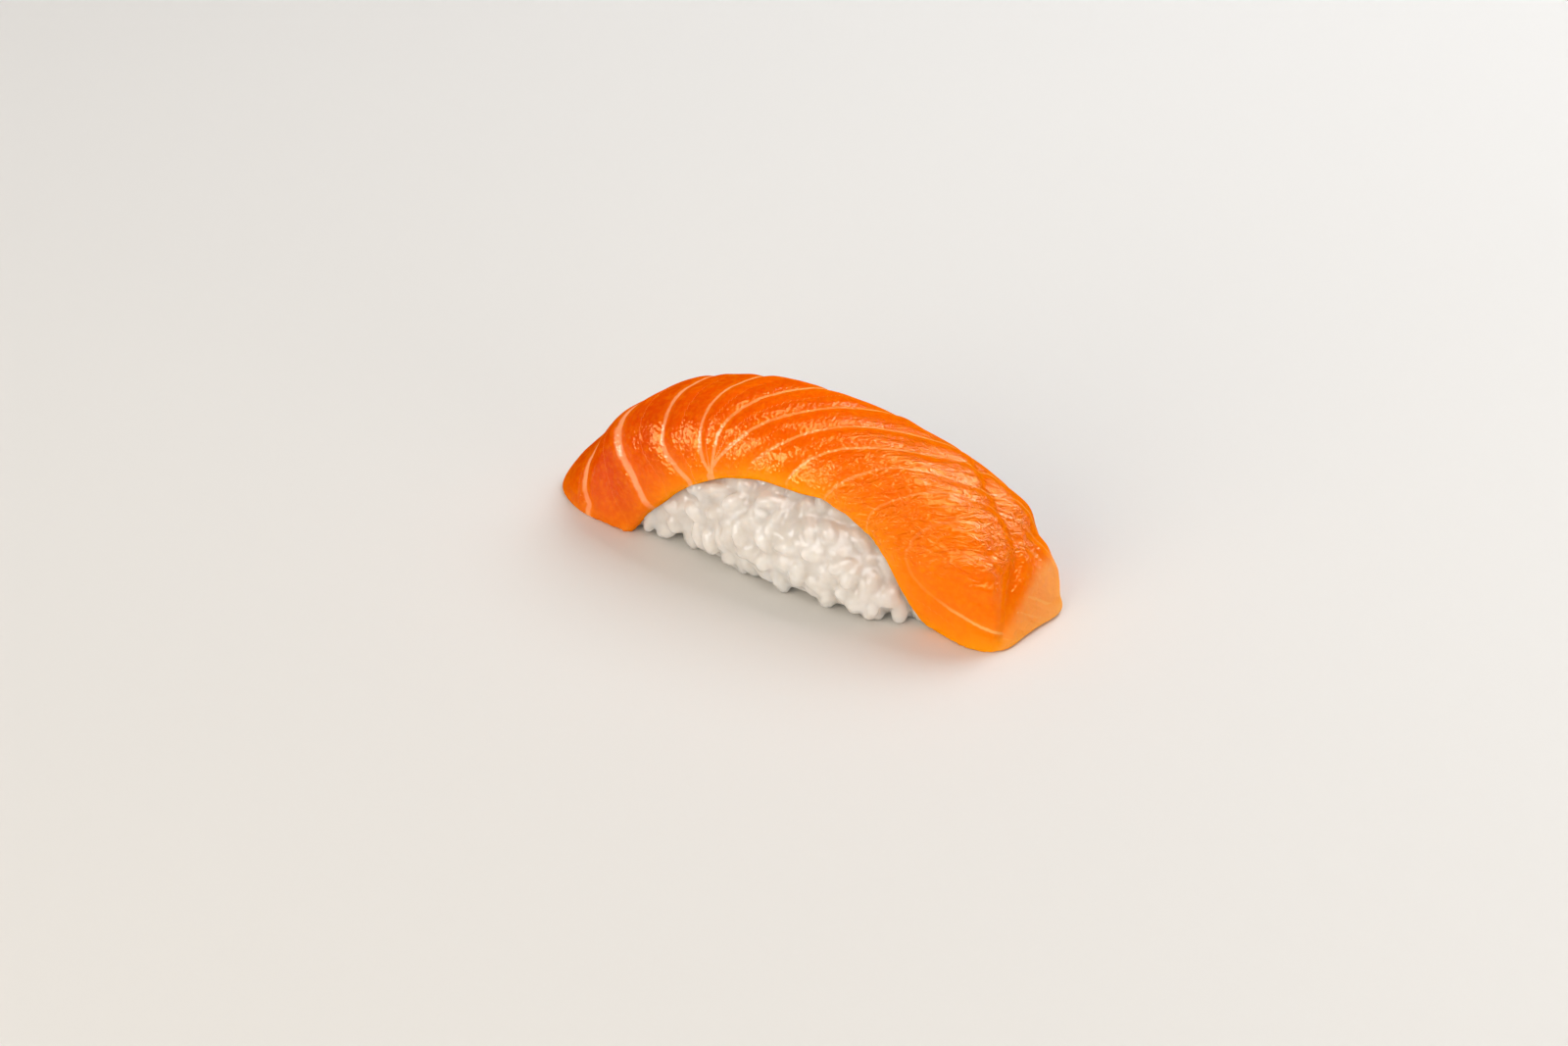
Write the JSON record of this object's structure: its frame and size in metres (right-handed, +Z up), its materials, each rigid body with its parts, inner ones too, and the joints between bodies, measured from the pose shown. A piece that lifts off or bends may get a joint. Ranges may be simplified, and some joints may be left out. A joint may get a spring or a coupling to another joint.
{
  "type": "salmon nigiri",
  "caption": "Hand-pressed loaf of sushi rice under a thick slice of raw salmon, which drapes over its top and ends down to the table.",
  "frame": {"origin": "on the table, under the middle of the part's box", "axes": "+X along the loaf to the blunt end, -Y to the front, where the camera of the reference stands, +Z up"},
  "size_m": [0.092, 0.0352, 0.0284],
  "materials": {
    "raw_salmon": "wet, glossy raw salmon, deep orange with paler fat lines between its flakes and a yellower, translucent edge",
    "sushi_rice": "sticky cooked short-grain rice, translucent white with a moist sheen"
  },
  "bodies": {
    "root": {"salmon": "raw_salmon", "rice": "sushi_rice"}
  },
  "joints": []
}
